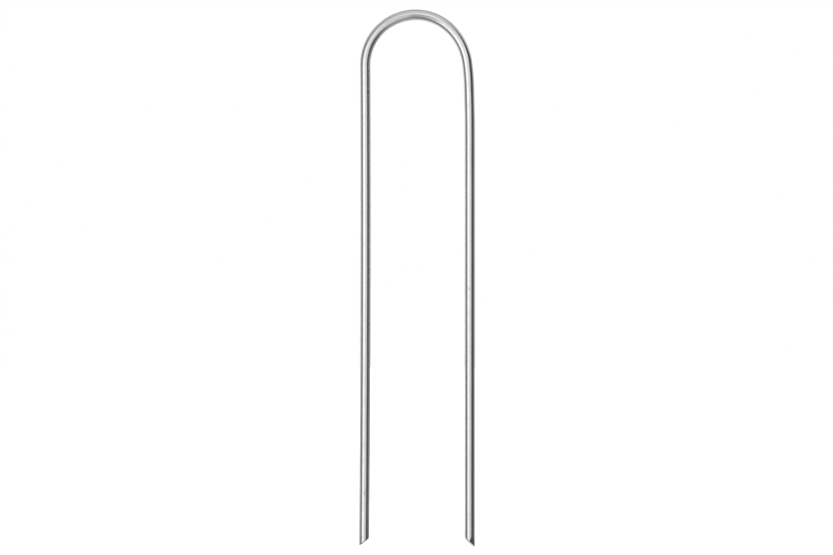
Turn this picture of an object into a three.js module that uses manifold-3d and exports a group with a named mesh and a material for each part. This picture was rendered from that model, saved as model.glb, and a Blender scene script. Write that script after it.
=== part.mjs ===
// A U-shaped tent stake, also called a double peg: a length of round steel wire, bent over into a
// crown with two legs and cut off at a slant at both ends. The legs are driven into the soil until
// the crown holds down a guy line, a pegging loop or the edge of a groundsheet.
//
// Millimetres, +Z up. The wire lies in the XZ plane, with its tips down. The origin is on the ground
// line, level with the centre of the crown's bend and halfway between the tips.

import * as THREE from "three";
import { mergeVertices } from "three/addons/utils/BufferGeometryUtils.js";
import Module from "manifold-3d";

// Driving dimensions

const WIRE_RADIUS = 2.25;
const HEIGHT = 230; // from the lower tip to the top of the crown
const LEFT_TIP_LIFT = 0.1; // the left tip ends this much higher than the right one
const CUT_ANGLE = 39; // slant of the cut ends, in degrees from square
const CROWN_RADIUS = 21.5; // bend radius of the wire's centreline
const CROWN_X = -0.66; // the crown's centre, from halfway between the tips

// The two sides of the wire, from the top of the crown down. Each stretch is an arc, and its angle is
// where the wire then points: 0 is level and 90 is straight down. The last stretch is the leg, which
// runs on to the cut. The left side is bent a little too far, and its leg bows back from that. The
// right side has sprung open, in ever wider arcs.
const LEFT_SIDE = [
  { angle: 90.25, radius: CROWN_RADIUS },
  { angle: 89.5 },
];
const RIGHT_SIDE = [
  { angle: 50, radius: CROWN_RADIUS },
  { angle: 83, radius: 25.1 },
  { angle: 88.25, radius: 112 },
  { angle: 90, radius: 715 },
  { angle: 90 },
];

// How finely round shapes are faceted

const WIRE_SIDES = 24;
const STEP_ANGLE = 3.75; // longest step round a bend, in degrees
const STEP_LENGTH = 15; // longest step down a leg

// Sizes worked out from these

const CROWN_TOP = CROWN_RADIUS; // of the centreline, above the ground line
const LEG_DEPTH = HEIGHT - CROWN_TOP - WIRE_RADIUS; // of the lower tip, below the ground line
const WASTE = 1; // the wire runs on this far past its tips, until it is cut

const { degToRad, radToDeg, lerp } = THREE.MathUtils;

// Centreline

// One station of the centreline: where it is, and the angle there, in radians.
const station = (x, z, angle) => ({ point: new THREE.Vector3(x, 0, z), angle });

// The stations of one side, from the top of the crown down. side is 1 for right and -1 for left.
function walkSide(side, stretches) {
  const stations = [station(CROWN_X, CROWN_TOP, 0)];
  for (const stretch of stretches) {
    const start = stations.at(-1);
    const turn = degToRad(stretch.angle) - start.angle;
    const length = stretch.radius ? stretch.radius * turn : start.point.z + LEG_DEPTH + WASTE;
    const steps = Math.ceil(Math.max(radToDeg(turn) / STEP_ANGLE, length / STEP_LENGTH));
    for (let i = 1; i <= steps; i += 1) {
      const last = stations.at(-1);
      const angle = start.angle + (turn * i) / steps;
      const heading = (last.angle + angle) / 2;
      const x = last.point.x + side * (length / steps) * Math.cos(heading);
      const z = last.point.z - (length / steps) * Math.sin(heading);
      stations.push(station(x, z, angle));
    }
  }
  return stations;
}

// A curve that visits every station, so that an extrusion along it has short steps round the bends
// and long ones down the legs. It points the way that the wire runs from the left tip to the right.
class Centreline extends THREE.Curve {
  constructor(left, right) {
    super();
    const up = left.slice(1).reverse();
    this.stations = [...up.map(({ point, angle }) => ({ point, angle: -angle })), ...right];
  }

  get steps() {
    return this.stations.length - 1;
  }

  // The stations before and after parameter t, and the share of the way between them.
  between(t) {
    const index = Math.min(Math.floor(t * this.steps), this.steps - 1);
    return [this.stations[index], this.stations[index + 1], t * this.steps - index];
  }

  getPoint(t, target = new THREE.Vector3()) {
    const [before, after, share] = this.between(t);
    return target.lerpVectors(before.point, after.point, share);
  }

  getTangent(t, target = new THREE.Vector3()) {
    const [before, after, share] = this.between(t);
    const angle = lerp(before.angle, after.angle, share);
    return target.set(Math.cos(angle), 0, -Math.sin(angle));
  }

  getUtoTmapping(u) {
    return u;
  }
}

// Solids

const wasm = await Module();
wasm.setup();

function toSolid(geometry) {
  const bare = geometry.clone().deleteAttribute("normal").deleteAttribute("uv");
  const merged = mergeVertices(bare);
  const mesh = new wasm.Mesh({
    numProp: 3,
    vertProperties: merged.attributes.position.array,
    triVerts: new Uint32Array(merged.index.array),
  });
  return new wasm.Manifold(mesh);
}

function toGeometry(solid) {
  const { vertProperties, triVerts } = solid.getMesh();
  const geometry = new THREE.BufferGeometry();
  geometry.setAttribute("position", new THREE.BufferAttribute(vertProperties, 3));
  geometry.setIndex(new THREE.BufferAttribute(triVerts, 1));
  geometry.computeVertexNormals();
  return geometry;
}

// The wire before its ends are cut.
function bentBlank(centreline) {
  const section = new THREE.Shape().absarc(0, 0, WIRE_RADIUS, 0, 2 * Math.PI);
  return new THREE.ExtrudeGeometry(section, {
    extrudePath: centreline,
    steps: centreline.steps,
    curveSegments: WIRE_SIDES / 2,
  });
}

// The block that the slanted cut takes away from one leg, which leaves the tip on the outer side.
function cutter(side, tipX, tipZ) {
  const slant = degToRad(CUT_ANGLE);
  const size = 6 * WIRE_RADIUS;
  const block = new THREE.BoxGeometry(size, size, size);
  block.translate(0, 0, -size / 2);
  block.rotateY(side * slant);
  block.translate(tipX, 0, tipZ + WIRE_RADIUS * Math.tan(slant));
  return block;
}

// The stake

const left = walkSide(-1, LEFT_SIDE);
const right = walkSide(1, RIGHT_SIDE);
const leftCutter = cutter(-1, left.at(-1).point.x, LEFT_TIP_LIFT - LEG_DEPTH);
const rightCutter = cutter(1, right.at(-1).point.x, -LEG_DEPTH);
const wire = toSolid(bentBlank(new Centreline(left, right)))
  .subtract(toSolid(leftCutter))
  .subtract(toSolid(rightCutter));

const zincPlatedSteel = new THREE.MeshStandardMaterial({
  color: 0xc8c8c8,
  roughness: 0.24,
  metalness: 1,
});
const bentWire = new THREE.Mesh(toGeometry(wire), zincPlatedSteel);
bentWire.name = "bent_wire";

const stake = new THREE.Group();
stake.add(bentWire);

export default stake;
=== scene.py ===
import math

import bpy
import numpy as np
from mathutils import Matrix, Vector


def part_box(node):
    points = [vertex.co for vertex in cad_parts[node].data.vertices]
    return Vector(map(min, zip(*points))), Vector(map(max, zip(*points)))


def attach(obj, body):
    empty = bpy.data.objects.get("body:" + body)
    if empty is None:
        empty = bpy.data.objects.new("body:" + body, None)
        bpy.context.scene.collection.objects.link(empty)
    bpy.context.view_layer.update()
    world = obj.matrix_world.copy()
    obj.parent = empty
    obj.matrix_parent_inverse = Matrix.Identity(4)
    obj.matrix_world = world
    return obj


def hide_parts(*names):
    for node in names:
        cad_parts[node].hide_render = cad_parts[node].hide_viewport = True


# A U-shaped tent stake of bright zinc-plated steel wire, in metres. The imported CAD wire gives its
# place and its size. This script lays a finer surface on the same centreline, with what drawing,
# bending and shearing leave on a wire, and gives it its metals.

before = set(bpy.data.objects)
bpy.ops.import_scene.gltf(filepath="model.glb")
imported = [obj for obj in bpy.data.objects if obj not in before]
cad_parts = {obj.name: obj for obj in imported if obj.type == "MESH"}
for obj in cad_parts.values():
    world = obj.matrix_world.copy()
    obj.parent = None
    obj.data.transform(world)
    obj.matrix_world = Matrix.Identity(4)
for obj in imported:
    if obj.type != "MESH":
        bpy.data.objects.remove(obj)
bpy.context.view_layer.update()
LOW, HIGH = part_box("bent_wire")
MM = 0.001

# ---------------------------------------------------------------------------------------------
# Driving dimensions. A side is -1 for the left leg and 1 for the right one. A place round the wire
# is in degrees: 0 is the front and 90 the outside of the bend, which is a leg's outer side.

WIRE_RADIUS = (HIGH.y - LOW.y) / 2
CROWN_TOP = HIGH.z - WIRE_RADIUS
CROWN_RADIUS = 21.5 * MM
CROWN_X = -0.66 * MM
LEFT_TIP_LIFT = 0.1 * MM
TIP_Z = {-1: LOW.z + LEFT_TIP_LIFT, 1: LOW.z}
CUT_ANGLE = 39  # slant of the cuts, in degrees from square
CUT_SLOPE = math.tan(math.radians(CUT_ANGLE))

# From the top of the crown down each side: the wire's angle below level at the end of a stretch, and
# the stretch's bend radius. The last stretch is the leg.
STRETCHES = {
    -1: [(90.25, CROWN_RADIUS), (89.5, None)],
    1: [(50, CROWN_RADIUS), (83, 25.1 * MM), (88.25, 112 * MM), (90, 715 * MM), (90, None)],
}

# The surface's mesh: points round the wire, the longest steps along it, the step at an end or at a
# dent, and how fast the steps grow away from there.
SIDES = 112
CROWN_STEP = 0.5 * MM
LEG_STEP = 0.9 * MM
FINE_STEP = 0.12 * MM
STEP_GROWTH = 0.16

# How far the wire strays to the front and to the back, and how fast, in radians per metre.
SWAY = 0.08 * MM
SWAY_RATE = 31

# The section in the bend is deeper in the plane of the bend than across it, and its inner side is
# flattened for about INNER_WIDTH radians to each side. Both fade out where the wire's angle below
# level goes from BENT to STRAIGHT.
OVAL = 0.055 * MM
INNER_FLATTENING = 0.035 * MM
INNER_WIDTH = 0.5
BENT = math.radians(70)
STRAIGHT = math.radians(91)

# What drawing left all along the wire: slow waves, each with up to WAVE_TURNS turns round the wire, and
# fine grooves from the die. The grooves' width is in radians round the wire, and their twist in radians
# per metre.
SURFACE_SEED = 11
WAVINESS = 0.006 * MM
WAVES = 14
WAVE_LENGTHS = (9 * MM, 45 * MM)
WAVE_TURNS = 4
DIE_LINES = 7
DIE_LINE_DEPTHS = (0.003 * MM, 0.009 * MM)
DIE_LINE_WIDTH = 0.06
DIE_LINE_TWIST = 3

# The sheared ends: the blade drew the wire's skin over the edge of each cut. On the inner side and on
# the outer side, this is how far it was drawn in, and how far from the cut that starts.
INNER_DRAW = {-1: (0.24 * MM, 0.5 * MM), 1: (0.40 * MM, 0.7 * MM)}
OUTER_DRAW = {-1: (0.90 * MM, 1.3 * MM), 1: (0.18 * MM, 0.5 * MM)}
CUT_LEAN = {-1: 0.04, 1: 0.25}  # how steeply each cut rises towards the front
LEAN_LENGTH = 7 * MM  # of leg, over which the mesh's rings come to lie along the cut
EDGE_LOOPS = 14
FACE_LOOPS = 16

# The cut faces: marks along the blade's way, and a patch where the steel tore off, a little below the
# rest. The patch starts at the first of TORN_LIMITS and is all there from the second to the outer side.
# Its grain does the same between TORN_GRAIN_LIMITS. They count out from the face's middle. Both the
# marks and the patch are sums of waves, whose rates are in radians per millimetre.
FACE_SEED = 40
SHEAR_MARKS = 5
SHEAR_MARK_RATES = (9, 34)
SHEAR_MARK_PHASES = (0, 6)
SHEAR_MARK_HEIGHT = 0.003 * MM
TORN_LIMITS = (-0.9 * MM, -0.4 * MM)
TORN_GRAIN_LIMITS = (-0.8 * MM, -0.2 * MM)
TORN_DEPTH = 0.045 * MM
TORN_WAVES = 16
TORN_WAVE_RATES = (4, 16)
TORN_PHASE_RATE = 7  # a wave's phase, as a multiple of its direction
TORN_WAVE_HEIGHT = 0.0035 * MM

# The flat that the shear's holder crushed into the right leg beside the cut: its place round the wire,
# its start above the tip, and its slant towards the wire's axis.
CRUSHED_PLACE = 35
CRUSHED_START = 4.1 * MM
CRUSHED_SLANT = math.tan(math.radians(9))
CRUSHED_EDGE = 0.03 * MM

# What the bending tool cut into the crown: a flat on its inner side, and scratches. Each has the angle
# of its middle round the bend, which is 0 at the top and grows to the right, its place round the wire,
# and its length. Then come the flat's depth, or a scratch's width and depth.
TOOL_FLAT = (-19, -50, 14 * MM, 0.13 * MM)
TOOL_FLAT_EDGE = 0.01 * MM
SCRATCHES = [
    (20, -3, 7 * MM, 0.32 * MM, 0.045 * MM),
    (28, -8, 5 * MM, 0.28 * MM, 0.035 * MM),
    (-19, -3, 13 * MM, 0.34 * MM, 0.035 * MM),
    (-33, 2, 4 * MM, 0.28 * MM, 0.030 * MM),
]

# Dents in the legs: side, height, place round the wire, length, width and depth.
DENTS = [
    (-1, -11.7 * MM, -33, 1.3 * MM, 0.7 * MM, 0.020 * MM),
    (-1, -61.7 * MM, -55, 1.0 * MM, 0.6 * MM, 0.020 * MM),
    (-1, -141.5 * MM, 43, 1.1 * MM, 0.6 * MM, 0.012 * MM),
    (-1, -150.4 * MM, 40, 1.0 * MM, 0.6 * MM, 0.012 * MM),
    (-1, -168.9 * MM, 43, 1.5 * MM, 0.7 * MM, 0.012 * MM),
    (-1, -183.3 * MM, -4, 1.5 * MM, 0.6 * MM, 0.030 * MM),
    (-1, -193.5 * MM, 160, 1.2 * MM, 0.7 * MM, 0.050 * MM),
    (1, -30.5 * MM, 150, 1.0 * MM, 0.6 * MM, 0.045 * MM),
    (1, -85.8 * MM, -36, 1.1 * MM, 0.6 * MM, 0.015 * MM),
    (1, -95.8 * MM, -4, 1.3 * MM, 0.6 * MM, 0.035 * MM),
    (1, -133.8 * MM, -36, 1.2 * MM, 0.6 * MM, 0.015 * MM),
    (1, -199.0 * MM, 110, 0.9 * MM, 0.6 * MM, 0.040 * MM),
]

# The rim that a dent or scratch pushes up: its height as a share of the depth, how far out it lies,
# where 1 is the dent's edge, and how narrow it is.
RIM_HEIGHT = 0.25
RIM_REACH = 1.7
RIM_NARROWNESS = 6

# ---------------------------------------------------------------------------------------------
# Centreline. Distances along it count from the top of the crown, and are negative on the left.


def side_profile(side):
    """One side's distances from the crown's top, and the wire's angles below level there."""
    distances, angles, height = [0.0], [0.0], CROWN_TOP
    for degrees, radius in STRETCHES[side]:
        before, after = angles[-1], math.radians(degrees)
        if radius:
            length = radius * (after - before)
            height -= radius * (math.cos(before) - math.cos(after))
        else:
            length = height - TIP_Z[side] - WIRE_RADIUS * CUT_SLOPE
        distances.append(distances[-1] + length)
        angles.append(after)
    return np.array(distances), np.array(angles)


PROFILE = {side: side_profile(side) for side in (-1, 1)}
LENGTH = {side: PROFILE[side][0][-1] for side in (-1, 1)}
BEND_LENGTH = {side: PROFILE[side][0][-2] for side in (-1, 1)}


def heading(distance):
    """The wire's angle below level, walking from the left tip to the right one."""
    left = -np.interp(-distance, *PROFILE[-1])
    right = np.interp(distance, *PROFILE[1])
    return np.where(distance < 0, left, right)


def centreline(distance):
    """X and Z at each distance. One of the distances is 0."""
    step = np.diff(distance)
    middle = heading((distance[1:] + distance[:-1]) / 2)
    x = np.concatenate([[0], np.cumsum(np.cos(middle) * step)])
    z = np.concatenate([[0], np.cumsum(-np.sin(middle) * step)])
    top = np.argmin(abs(distance))
    return x - x[top] + CROWN_X, z - z[top] + CROWN_TOP


def leg_distance(side, height):
    """The distance along the wire of a height on one leg."""
    above_end = height - TIP_Z[side] - WIRE_RADIUS * CUT_SLOPE
    return side * (LENGTH[side] - above_end)


def ring_distances():
    """Where the mesh's rings go: close together at the ends and the dents, and further apart between."""
    fine_places = [leg_distance(side, height) for side, height, *_ in DENTS]
    fine_places = np.array(fine_places + [-LENGTH[-1], LENGTH[1]])
    sides = {}
    for side in (-1, 1):
        found = [0.0]
        while found[-1] < LENGTH[side]:
            longest = CROWN_STEP if found[-1] < BEND_LENGTH[side] else LEG_STEP
            gap = abs(fine_places - side * found[-1]).min()
            found.append(found[-1] + min(longest, FINE_STEP + STEP_GROWTH * gap))
        sides[side] = np.array(found) * LENGTH[side] / found[-1]
    return np.concatenate([-sides[-1][:0:-1], sides[1]])


# ---------------------------------------------------------------------------------------------
# Surface of the wire. Angles round it are in radians: 0 on the outside of the bend, and a quarter turn
# at the front.


def angle_of(place):
    """The angle round the wire of a place round it."""
    return math.radians(90 - place)


def turn_between(angle, other):
    """The turn from one angle to another, at most half a turn either way."""
    return (angle - other + math.pi) % (2 * math.pi) - math.pi


def smooth(value, low, high):
    """0 at low and 1 at high, with a smooth rise between them."""
    share = np.clip((value - low) / (high - low), 0, 1)
    return share * share * (3 - 2 * share)


def waviness(rng, along, around):
    """A sum of waves that close up round the wire, mostly between -1 and 1."""
    total = 0
    for _ in range(WAVES):
        turns = rng.integers(0, WAVE_TURNS + 1)
        length = rng.uniform(*WAVE_LENGTHS)
        phase = rng.uniform(0, 2 * math.pi)
        total = total + np.sin(2 * math.pi * along / length + turns * around + phase)
    return total / math.sqrt(WAVES)


def die_line(rng, along, around):
    """The depth of a fine groove that the drawing die left along the whole wire."""
    centre = rng.uniform(0, 2 * math.pi)
    twist = rng.uniform(-DIE_LINE_TWIST, DIE_LINE_TWIST)
    depth = rng.uniform(*DIE_LINE_DEPTHS)
    gap = turn_between(around, centre + twist * along)
    return depth * np.exp(-((gap / DIE_LINE_WIDTH) ** 2))


def dents():
    """Every scratch and dent, with the distance of its middle along the wire."""
    for bend_angle, *size in SCRATCHES:
        yield (math.radians(bend_angle) * CROWN_RADIUS, *size)
    for side, height, *size in DENTS:
        yield (leg_distance(side, height), *size)


def dent_reach(along, around, middle, place, length, width):
    """How far out each point is from a dent's middle, where 1 is the dent's edge."""
    u = 2 * (along - middle) / length
    v = 2 * turn_between(around, angle_of(place)) * WIRE_RADIUS / width
    return np.hypot(u, v)


LEAST_FACING = 0.3  # a flat's plane stays clear of the parts of the wire that face less towards it


def flat(around, place, depth, edge):
    """How far a flat lies under the round surface. depth is at its middle, and edge softens its edge."""
    facing = np.maximum(np.cos(turn_between(around, angle_of(place))), LEAST_FACING)
    under = WIRE_RADIUS - (WIRE_RADIUS - depth) / facing
    return (under + np.sqrt(under**2 + edge**2)) / 2


def tool_flat(along, around, bend_angle, place, length, depth):
    """A flat on the crown that runs out at both its ends."""
    share = 2 * (along - math.radians(bend_angle) * CROWN_RADIUS) / length
    return flat(around, place, depth * (1 - share**2), TOOL_FLAT_EDGE)


def crushed_flat(along, around):
    """The flat beside the right leg's cut, which slants in towards it."""
    depth = CRUSHED_SLANT * (along - leg_distance(1, TIP_Z[1] + CRUSHED_START))
    return flat(around, CRUSHED_PLACE, depth, CRUSHED_EDGE)


def relief(along, around):
    """How far the surface stands out from a true round wire, and where dents have scraped it."""
    rng = np.random.default_rng(SURFACE_SEED)
    bent = smooth(abs(heading(along)), STRAIGHT, BENT)
    inside = np.exp(-((turn_between(around, math.pi) / INNER_WIDTH) ** 2))
    height = OVAL * bent * np.cos(2 * around) - INNER_FLATTENING * bent * inside
    height = height + WAVINESS * waviness(rng, along, around)
    for _ in range(DIE_LINES):
        height = height - die_line(rng, along, around)
    scraped = np.zeros(height.shape)
    for *size, depth in dents():
        reach = dent_reach(along, around, *size)
        hollow = np.exp(-(reach**2))
        rim = RIM_HEIGHT * np.exp(-RIM_NARROWNESS * (reach - RIM_REACH) ** 2)
        height = height - depth * (hollow - rim)
        scraped = np.maximum(scraped, hollow)
    height = height - tool_flat(along, around, *TOOL_FLAT) - crushed_flat(along, around)
    return height, scraped


# ---------------------------------------------------------------------------------------------
# The cut ends

FORWARD = np.array([0.0, -1.0, 0.0])


def drawn(side, around):
    """How far a cut's edge is drawn in, and over what length, at each angle round the wire."""
    inner_share = (1 - np.cos(around)) / 2
    pairs = zip(INNER_DRAW[side], OUTER_DRAW[side])
    return [inner * inner_share + outer * (1 - inner_share) for inner, outer in pairs]


def ring_lean(along, around, radius):
    """How far the rings' points move along the wire, so that the last rings lie along the cuts."""
    lean = 0
    for side in (-1, 1):
        share = smooth(side * along, LENGTH[side] - LEAN_LENGTH, LENGTH[side])
        slant = CUT_SLOPE * np.cos(around) - CUT_LEAN[side] * np.sin(around)
        lean = lean + side * share * (radius * slant - drawn(side, around)[1])
    return lean


def face_waves(side):
    """The random waves of one cut face's shear marks, and those of its torn patch. A wave has how fast
    it turns with u and with v, which count out from the face's middle and to the front, and its phase."""
    rng = np.random.default_rng(FACE_SEED + side)
    marks, tears = [], []
    for _ in range(SHEAR_MARKS):
        rate = rng.uniform(*SHEAR_MARK_RATES) / MM
        marks.append((0, rate, rng.uniform(*SHEAR_MARK_PHASES)))
    for _ in range(TORN_WAVES):
        direction = rng.uniform(0, 2 * math.pi)
        rate = rng.uniform(*TORN_WAVE_RATES) / MM
        phase = TORN_PHASE_RATE * direction
        tears.append((rate * math.cos(direction), rate * math.sin(direction), phase))
    return marks, tears


def wave_sum(waves, u, v):
    return sum(np.sin(u_rate * u + v_rate * v + phase) for u_rate, v_rate, phase in waves)


def face_relief(marks, tears, u, v):
    """A cut face's height over its plane."""
    torn = wave_sum(tears, u, v) * TORN_WAVE_HEIGHT - TORN_DEPTH
    return wave_sum(marks, u, v) * SHEAR_MARK_HEIGHT + smooth(u, *TORN_LIMITS) * torn


def tip_loops(side, centre, tangent, outward, radius, around):
    """The loops of one cut, from its drawn edge to its middle, and the middle point."""
    toward_tip = side * tangent
    depth, length = drawn(side, around)
    face = face_waves(side)

    def loop(reach, lift):
        u, v = reach * np.cos(around), reach * np.sin(around)
        along = (lift + CUT_SLOPE * u - CUT_LEAN[side] * v)[:, None] * toward_tip
        return centre + u[:, None] * outward + v[:, None] * FORWARD + along

    loops = []
    for turn in np.linspace(0, math.pi / 2, EDGE_LOOPS + 1)[1:]:
        loops.append(loop(radius - depth * (1 - math.cos(turn)), -length * (1 - math.sin(turn))))
    edge = radius - depth
    for share in np.linspace(1, 0, FACE_LOOPS + 1)[1:-1]:
        reach = edge * share
        lift = face_relief(*face, reach * np.cos(around), reach * np.sin(around))
        loops.append(loop(reach, lift * (1 - share**8)))  # the relief dies out close to the edge
    return loops, centre + face_relief(*face, 0.0, 0.0) * toward_tip


# ---------------------------------------------------------------------------------------------
# The wire's mesh: loops of points from the middle of the left cut to the middle of the right one

END_LOOPS = EDGE_LOOPS + FACE_LOOPS - 1
FARTHEST = WIRE_RADIUS * 1.02  # no point of the unbent wire counts as further from its axis
ZINC, SHEARED = 0, 1  # the material slots


def axes(distance):
    """The wire's centre, the way along it, and the way out of the bend, at each distance."""
    x, z = centreline(distance)
    tilt = heading(distance)
    level = np.zeros(len(distance))
    centre = np.stack([x, SWAY * np.sin(distance * SWAY_RATE), z], -1)
    tangent = np.stack([np.cos(tilt), level, -np.sin(tilt)], -1)
    outward = np.stack([np.sin(tilt), level, np.cos(tilt)], -1)
    return centre, tangent, outward


def unbent_places(loops, distance, centre, radius, around):
    """Where each point was on the straight wire: out of the bend, to the front, and along the wire.
    All of a cut counts as being at the very end."""
    from_axis = np.concatenate([
        np.linalg.norm(loops[:END_LOOPS] - centre[0], axis=-1),
        radius,
        np.linalg.norm(loops[-END_LOOPS:] - centre[-1], axis=-1),
    ])
    from_axis = np.minimum(from_axis, FARTHEST)
    along = np.repeat(np.pad(distance, END_LOOPS, mode="edge")[:, None], SIDES, 1)
    places = np.stack([from_axis * np.cos(around), from_axis * np.sin(around), along], -1)
    middles = [[0, 0, distance[0]], [0, 0, distance[-1]]]
    return np.concatenate([places.reshape(-1, 3), middles])


def loop_faces(count):
    """The faces from each loop to the next, and then a fan round each cut's middle point."""
    i, j = np.meshgrid(np.arange(count - 1), np.arange(SIDES), indexing="ij")
    here, beside = i * SIDES + j, i * SIDES + (j + 1) % SIDES
    quads = np.stack([here, beside, beside + SIDES, here + SIDES], -1).reshape(-1, 4)
    first = np.arange(SIDES)
    after_first = (first + 1) % SIDES
    to_last = (count - 1) * SIDES
    middle = np.full(SIDES, count * SIDES)
    left_fan = np.stack([after_first, first, middle], -1)
    right_fan = np.stack([to_last + first, to_last + after_first, middle + 1], -1)
    return quads.tolist() + left_fan.tolist() + right_fan.tolist()


def build_wire():
    """The wire's mesh. Its attribute unbent says where each point was before the wire was bent, and
    its attribute scraped says how much a dent or scratch has scraped it."""
    distance = ring_distances()
    around = np.arange(SIDES) * 2 * math.pi / SIDES
    along, angle = distance[:, None], around[None, :]
    centre, tangent, outward = axes(distance)
    height, scraped = relief(along, angle)
    radius = WIRE_RADIUS + height

    rings = centre[:, None] + (radius * np.cos(angle))[..., None] * outward[:, None]
    rings = rings + (radius * np.sin(angle))[..., None] * FORWARD
    rings = rings + ring_lean(along, angle, radius)[..., None] * tangent[:, None]
    left, left_middle = tip_loops(-1, centre[0], tangent[0], outward[0], radius[0], around)
    right, right_middle = tip_loops(1, centre[-1], tangent[-1], outward[-1], radius[-1], around)
    loops = np.array(left[::-1] + list(rings) + right)
    points = np.concatenate([loops.reshape(-1, 3), [left_middle, right_middle]])
    faces = loop_faces(len(loops))

    mesh = bpy.data.meshes.new("steel_wire")
    mesh.from_pydata(points.tolist(), [], faces)
    unbent = unbent_places(loops, distance, centre, radius, angle).astype(np.float32)
    attribute = mesh.attributes.new("unbent", "FLOAT_VECTOR", "POINT")
    attribute.data.foreach_set("vector", unbent.ravel())
    scraped = np.append(np.pad(scraped, ((END_LOOPS, END_LOOPS), (0, 0))), [0, 0]).astype(np.float32)
    attribute = mesh.attributes.new("scraped", "FLOAT", "POINT")
    attribute.data.foreach_set("value", scraped)

    on_face = (FACE_LOOPS - 1) * SIDES
    material = np.full(len(faces), SHEARED, np.int32)
    material[on_face:(len(loops) - 1) * SIDES - on_face] = ZINC
    mesh.polygons.foreach_set("material_index", material)
    mesh.polygons.foreach_set("use_smooth", np.ones(len(faces), bool))
    mesh.update()
    return mesh


# ---------------------------------------------------------------------------------------------
# Materials. They follow the unbent wire: X is out of the bend, Y to the front, and Z along the wire
# from the top of the crown.


class Nodes:
    """Makes the nodes of one node tree in few words."""

    def __init__(self, tree):
        self.tree = tree
        tree.nodes.clear()

    def add(self, kind, inputs=None, **settings):
        node = self.tree.nodes.new(kind)
        for name, value in settings.items():
            setattr(node, name, value)
        for name, value in (inputs or {}).items():
            self.set(node.inputs[name], value)
        return node

    def set(self, socket, value):
        if isinstance(value, bpy.types.NodeSocket):
            self.tree.links.new(value, socket)
        else:
            socket.default_value = value

    def attribute(self, name, output):
        return self.add("ShaderNodeAttribute", attribute_name=name).outputs[output]

    def math(self, operation, *values):
        return self.add("ShaderNodeMath", dict(enumerate(values)), operation=operation).outputs[0]

    def product(self, first, *others):
        for other in others:
            first = self.math("MULTIPLY", first, other)
        return first

    def total(self, start, *terms):
        """start, plus each term's value times its weight."""
        for value, weight in terms:
            start = self.math("MULTIPLY_ADD", value, weight, start)
        return start

    def vector(self, operation, *values):
        inputs = dict(enumerate(values))
        node = self.add("ShaderNodeVectorMath", inputs, operation=operation)
        return node.outputs["Value" if operation == "DOT_PRODUCT" else "Vector"]

    def mix(self, share, before, after):
        return self.add("ShaderNodeMix", {0: share, 2: before, 3: after}).outputs[0]

    def ramp(self, value, low, high, start=0.0, end=1.0):
        """start while value is at low, end at high, and a smooth change between them."""
        limits = {"Value": value, "From Min": low, "From Max": high, "To Min": start, "To Max": end}
        return self.add("ShaderNodeMapRange", limits, interpolation_type="SMOOTHSTEP").outputs[0]

    def band(self, value, start, full, still_full, end):
        """0 before start and after end, 1 from full to still_full, and smooth changes between."""
        return self.product(self.ramp(value, start, full), self.ramp(value, end, still_full))

    def scaled(self, place, size):
        """A place counted in units of size, which has a length for each axis, or None for endless."""
        scale = tuple(1 / length if length else 0 for length in size)
        return self.vector("MULTIPLY", place, scale)

    def noise(self, place, size, detail=2.0, roughness=0.5):
        inputs = {"Vector": self.scaled(place, size), "Scale": 1.0}
        inputs.update({"Detail": detail, "Roughness": roughness})
        return self.add("ShaderNodeTexNoise", inputs).outputs[0]

    def metal(self, shade, rough, height, depth):
        """The output of a bare metal of a grey shade. height, from 0 to 1, makes bumps up to depth."""
        colour = self.add("ShaderNodeCombineColor", {"Red": shade, "Green": shade, "Blue": shade})
        bump = self.add("ShaderNodeBump", {"Height": height, "Distance": depth, "Strength": 1.0})
        shader = self.add("ShaderNodeBsdfPrincipled", {
            "Base Color": colour.outputs[0], "Metallic": 1.0, "Roughness": rough,
            "Normal": bump.outputs[0],
        })
        self.add("ShaderNodeOutputMaterial", {"Surface": shader.outputs[0]})


def new_material(name):
    material = bpy.data.materials.new(name)
    material.use_nodes = True
    return material, Nodes(material.node_tree)


# On the front of the crown the bending tool rubbed a band rougher, which is darkened with painted shade,
# and outside it lies a painted highlight line. The limits of each are those of Nodes.band, out from the
# wire's axis and along the wire.
RUB_AND_SHADE_OUT = (-1.4 * MM, -0.9 * MM, -0.10 * MM, 0.20 * MM)
RUB_AND_SHADE_ALONG = (-5 * MM, 0, 4 * MM, 13 * MM)
HIGHLIGHT_OUT = (0.05 * MM, 0.30 * MM, 0.60 * MM, 0.80 * MM)
HIGHLIGHT_ALONG = (-1 * MM, 4 * MM, 9 * MM, 14 * MM)
FRONT_LIMITS = (0, 0.6 * MM)

# The crown is a little rougher than the legs. The legs get darker towards the tips: painted shade, for
# the duller light the tips reflect.
CROWN_ALONG = (-38 * MM, -24 * MM, 17 * MM, 31 * MM)
TIP_SHADE_LIMITS = (90 * MM, 200 * MM)

# Duller patches lie where the patches' noise rises past these limits. The fine lines break the band of
# rub and painted
# shade up: their own limits come first, and then the band's strength at each.
DULL_LIMITS = (0.42, 0.68)
RUB_AND_SHADE_BREAKS = (0.2, 0.6, 0.6, 1.0)

# Small round pits, in about a fifth of a pattern's cells. The edge is in cells from a pit's middle.
PIT_CELL = (0.9 * MM, 0.9 * MM, 1.3 * MM)
PIT_EDGE = (0.14, 0.05)
PIT_CHANCE = (0.80, 0.84)

ZINC_BUMPS = 0.004 * MM
SHEARED_BUMPS = 0.012 * MM
FLOOR_COLOUR = (0.9, 0.9, 0.9, 1)


def pits(nodes, place):
    """1 in the pits, and 0 outside them."""
    place = nodes.scaled(place, PIT_CELL)
    cells = nodes.add("ShaderNodeTexVoronoi", {"Vector": place, "Scale": 1.0}).outputs
    near = nodes.ramp(cells["Distance"], *PIT_EDGE)
    chance = nodes.add("ShaderNodeSeparateColor", {"Color": cells["Color"]}).outputs[0]
    return nodes.product(near, nodes.ramp(chance, *PIT_CHANCE))


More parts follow.
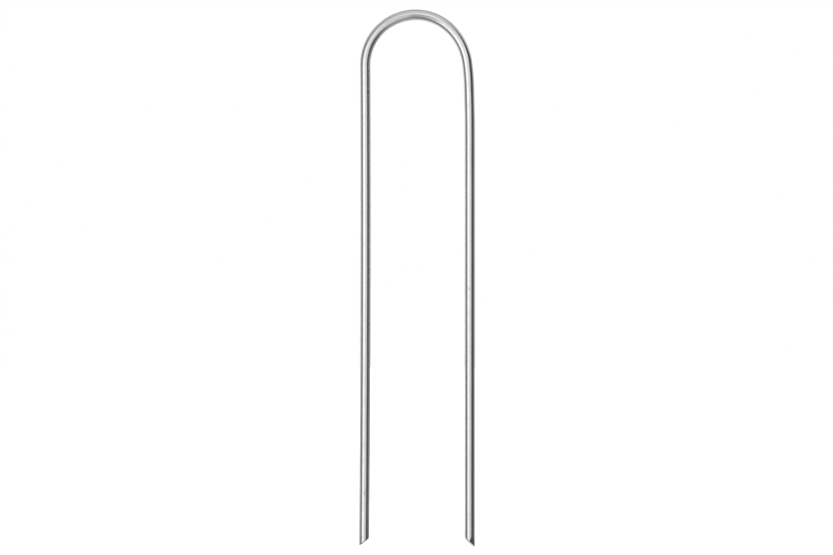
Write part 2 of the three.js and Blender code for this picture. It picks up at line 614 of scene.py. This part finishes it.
def zinc_material():
    """Bright zinc on drawn steel: fine lines along the wire, duller patches, a few pits, painted shade
    that darkens the tips, and what the dents and the bending tool did to it: on the crown's front a
    rougher band darkened with painted shade, and a painted highlight line."""
    material, nodes = new_material("zinc_plated_steel")
    place = nodes.attribute("unbent", "Vector")
    scraped = nodes.attribute("scraped", "Fac")
    outward, forward, distance = nodes.add("ShaderNodeSeparateXYZ", {"Vector": place}).outputs

    fine = nodes.noise(place, (0.16 * MM, 0.16 * MM, 16 * MM), 3.0, 0.6)
    broad = nodes.noise(place, (0.7 * MM, 0.7 * MM, 30 * MM))
    grain = nodes.noise(place, (0.12 * MM, 0.12 * MM, 0.2 * MM))
    patch = nodes.noise(place, (2.2 * MM, 2.2 * MM, 4.5 * MM), 4.0, 0.6)
    dull = nodes.ramp(patch, *DULL_LIMITS)
    pit = pits(nodes, place)

    crown = nodes.band(distance, *CROWN_ALONG)
    # Painted shade: the legs darken towards the tips, for the duller light they reflect there.
    tip_shade = nodes.ramp(nodes.math("ABSOLUTE", distance), *TIP_SHADE_LIMITS)
    front = nodes.ramp(forward, *FRONT_LIMITS)
    broken = nodes.ramp(fine, *RUB_AND_SHADE_BREAKS)
    # A band that the tool rubbed rougher, darkened with painted shade for a darker reflection there.
    rub_and_shade_along = nodes.product(nodes.band(distance, *RUB_AND_SHADE_ALONG), broken)
    rub_and_shade = nodes.product(nodes.band(outward, *RUB_AND_SHADE_OUT), front, rub_and_shade_along)
    # Painted highlight: a brighter line in the zinc's shade for a reflected streak of light, with the
    # roughness unchanged.
    painted_highlight_along = nodes.band(distance, *HIGHLIGHT_ALONG)
    painted_highlight = nodes.product(nodes.band(outward, *HIGHLIGHT_OUT), front, painted_highlight_along)

    # Each layer comes with what it adds where it is strongest.
    shade = nodes.total(
        0.76, (fine, 0.10), (broad, 0.06), (dull, -0.03), (crown, -0.01), (tip_shade, -0.09),
        (rub_and_shade, -0.33), (painted_highlight, 0.13), (scraped, -0.22), (pit, -0.40),
    )
    rough = nodes.total(
        0.13, (fine, 0.08), (dull, 0.05), (crown, 0.07), (rub_and_shade, 0.06), (scraped, 0.15), (pit, 0.30),
    )
    height = nodes.total(fine, (grain, 0.06), (pit, -1.2))
    nodes.metal(shade, rough, height, ZINC_BUMPS)
    return material


def sheared_material():
    """Bare steel where the ends were cut: lines the way the blade went, and a grainy torn patch."""
    material, nodes = new_material("sheared_steel")
    place = nodes.attribute("unbent", "Vector")
    outward = nodes.add("ShaderNodeSeparateXYZ", {"Vector": place}).outputs["X"]
    lines = nodes.noise(place, (1.5 * MM, 0.07 * MM, None))
    grain = nodes.noise(place, (0.12 * MM, 0.12 * MM, 0.12 * MM), 4.0, 0.7)
    torn = nodes.ramp(outward, *TORN_GRAIN_LIMITS)
    torn_grain = nodes.product(grain, torn)
    shade = nodes.total(0.58, (lines, 0.12), (torn_grain, -0.16))
    rough = nodes.total(0.28, (torn, 0.16))
    nodes.metal(shade, rough, nodes.math("ADD", lines, torn_grain), SHEARED_BUMPS)
    return material


def floor_material():
    material, nodes = new_material("white_floor")
    shader = nodes.add("ShaderNodeBsdfDiffuse", {"Color": FLOOR_COLOUR})
    nodes.add("ShaderNodeOutputMaterial", {"Surface": shader.outputs[0]})
    return material


# ---------------------------------------------------------------------------------------------
# Studio

BACKDROP_BRIGHTNESS = 1.0  # behind the stake
LIGHT_BRIGHTNESS = 1.6  # as it lights the floor
FLOOR_REACH = 3.0
FLOOR_GAP = 0.1 * MM  # under the lower tip

# What the wire reflects: each card is a soft-edged patch of the studio, with the azimuth and the
# elevation of its middle and half its width and height, all in degrees, then the softness of its edge
# as a share of its size, and its brightness. Azimuth 0 is the camera's side and 90 the right. A later
# card covers an earlier one.
ROOM_BRIGHTNESS = 0.08
CARDS = [
    (0, 80, 48, 40, 0.3, 0.60),
    (-172, 4, 84, 88, 0.15, 0.44),
    (-136, -8, 46, 60, 0.3, 0.74),
    (180, -68, 50, 24, 0.4, 0.66),
    (-163, 2, 21, 26, 0.3, 1.30),
    (162, 0, 13, 48, 0.4, 0.10),
    (125, 27, 20, 14, 0.4, 0.85),
    (70, 16, 24, 12, 0.5, 0.03),
    (10, -67, 40, 21, 0.4, 0.22),
    (-68, 5, 26, 60, 0.3, 0.22),
    (-55, 44, 16, 14, 0.5, 0.42),
    (3, 12, 38, 33, 0.3, 0.82),
    (22, 14, 12, 9, 0.5, 0.96),
    (-3, -30, 18, 25, 0.3, 0.46),
    (22, -32, 14, 17, 0.4, 0.78),
    (-27, -10, 22, 28, 0.3, 1.30),
]

# A long lens square to the wire, with the whole stake in view.
CAMERA_PLACE = Vector((-0.11 * MM, -1485.7 * MM, 0.30 * MM))  # from the middle of the wire's box
CAMERA_LENS = 150
CAMERA_SENSOR_WIDTH = 36


def new_object(name, data):
    made = bpy.data.objects.new(name, data)
    bpy.context.scene.collection.objects.link(made)
    return made


def add_camera():
    data = bpy.data.cameras.new("camera")
    data.lens = CAMERA_LENS
    data.sensor_width = CAMERA_SENSOR_WIDTH
    camera = new_object("camera", data)
    camera.location = (LOW + HIGH) / 2 + CAMERA_PLACE
    camera.rotation_euler = (math.pi / 2, 0, 0)
    bpy.context.scene.camera = camera


def studio_reflection(nodes):
    """The brightness that the wire reflects from each direction."""
    direction = nodes.add("ShaderNodeTexCoord").outputs["Generated"]
    brightness = ROOM_BRIGHTNESS
    for azimuth, elevation, half_width, half_height, softness, level in CARDS:
        a, e = math.radians(azimuth), math.radians(elevation)
        middle = (math.sin(a) * math.cos(e), -math.cos(a) * math.cos(e), math.sin(e))
        right = (math.cos(a), math.sin(a), 0)
        up = tuple(Vector(middle).cross(Vector(right)))
        depth = nodes.vector("DOT_PRODUCT", direction, middle)
        across = nodes.math("ARCTAN2", nodes.vector("DOT_PRODUCT", direction, right), depth)
        upward = nodes.math("ARCSINE", nodes.vector("DOT_PRODUCT", direction, up))
        across = nodes.math("MULTIPLY", across, 1 / math.radians(half_width))
        upward = nodes.math("MULTIPLY", upward, 1 / math.radians(half_height))
        square = nodes.math("ADD", nodes.math("POWER", across, 2), nodes.math("POWER", upward, 2))
        share = nodes.ramp(nodes.math("SQRT", square), 1 + softness, 1 - softness)
        brightness = nodes.mix(share, brightness, level)
    return brightness


def add_studio():
    """White to the camera, soft light to the floor, and the cards to what reflects."""
    world = bpy.data.worlds.new("studio")
    bpy.context.scene.world = world
    world.use_nodes = True
    nodes = Nodes(world.node_tree)
    rays = nodes.add("ShaderNodeLightPath").outputs
    plain = nodes.mix(rays["Is Diffuse Ray"], BACKDROP_BRIGHTNESS, LIGHT_BRIGHTNESS)
    strength = nodes.mix(rays["Is Glossy Ray"], plain, studio_reflection(nodes))
    background = nodes.add("ShaderNodeBackground", {"Color": (1, 1, 1, 1), "Strength": strength})
    nodes.add("ShaderNodeOutputWorld", {"Surface": background.outputs[0]})
    bpy.context.scene.view_settings.view_transform = "Standard"


def add_floor():
    """A plain floor that the wire doesn't reflect, because the cards stand for it there."""
    z = LOW.z - FLOOR_GAP
    ways = [(-1, -1), (1, -1), (1, 1), (-1, 1)]
    mesh = bpy.data.meshes.new("floor")
    mesh.from_pydata([(x * FLOOR_REACH, y * FLOOR_REACH, z) for x, y in ways], [], [(0, 1, 2, 3)])
    mesh.materials.append(floor_material())
    floor = new_object("floor", mesh)
    floor.visible_glossy = False


def add_stake():
    mesh = build_wire()
    mesh.materials.append(zinc_material())
    mesh.materials.append(sheared_material())
    stake = new_object("steel_wire", mesh)
    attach(stake, "root")
    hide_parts("bent_wire")


add_camera()
add_studio()
add_floor()
add_stake()
